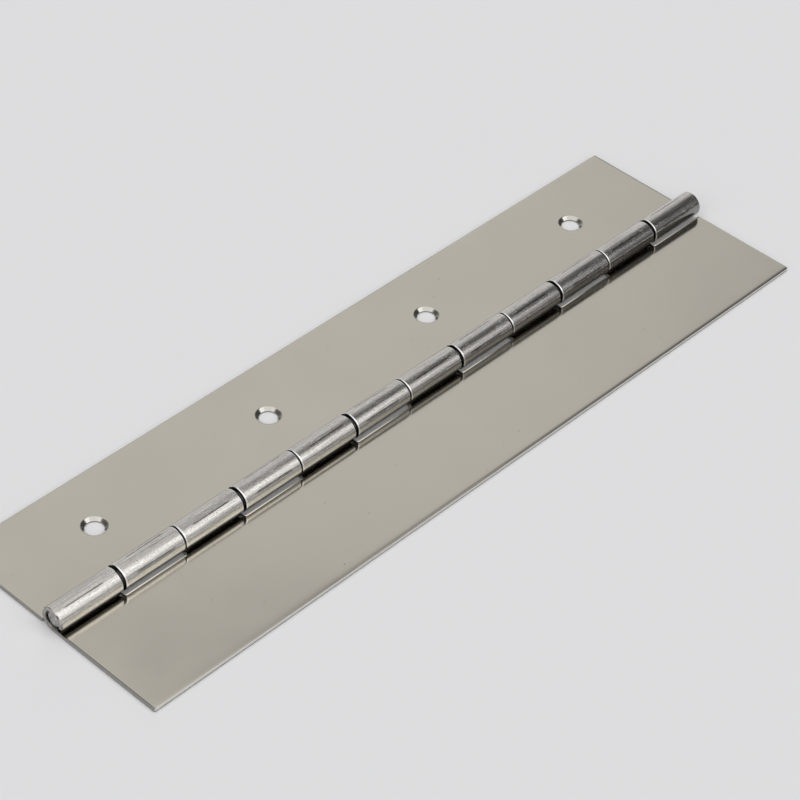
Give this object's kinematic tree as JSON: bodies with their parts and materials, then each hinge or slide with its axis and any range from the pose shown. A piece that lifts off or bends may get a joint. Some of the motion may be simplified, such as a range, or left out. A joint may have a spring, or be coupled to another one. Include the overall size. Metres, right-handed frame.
{
  "type": "piano hinge",
  "caption": "Continuous piano hinge: flat sheet-steel leaves whose rolled knuckles interleave on a long pin, a drilled and countersunk leaf against a plain leaf.",
  "frame": {"origin": "in the plane of the leaves' backs, under the middle of the pin", "axes": "+X along the pin, +Y from the pin towards the drilled leaf, +Z out of the leaves' knuckle side, away from the surface they are fastened to"},
  "size_m": [0.3004, 0.09, 0.0091],
  "materials": {
    "leaf_steel": "bright rolled stainless sheet",
    "pin_steel": "drawn wire, sheared ends"
  },
  "bodies": {
    "drilled_side": {"drilled_leaf": "leaf_steel", "hinge_pin": "pin_steel"},
    "plain_side": {"plain_leaf": "leaf_steel"}
  },
  "joints": [
    {"name": "leaf_swing", "type": "hinge", "parent": "drilled_side", "child": "plain_side", "pos_m": [0, 0, 0.00455], "axis": [-1, 0, 0], "range_deg": [-90, 180]}
  ]
}
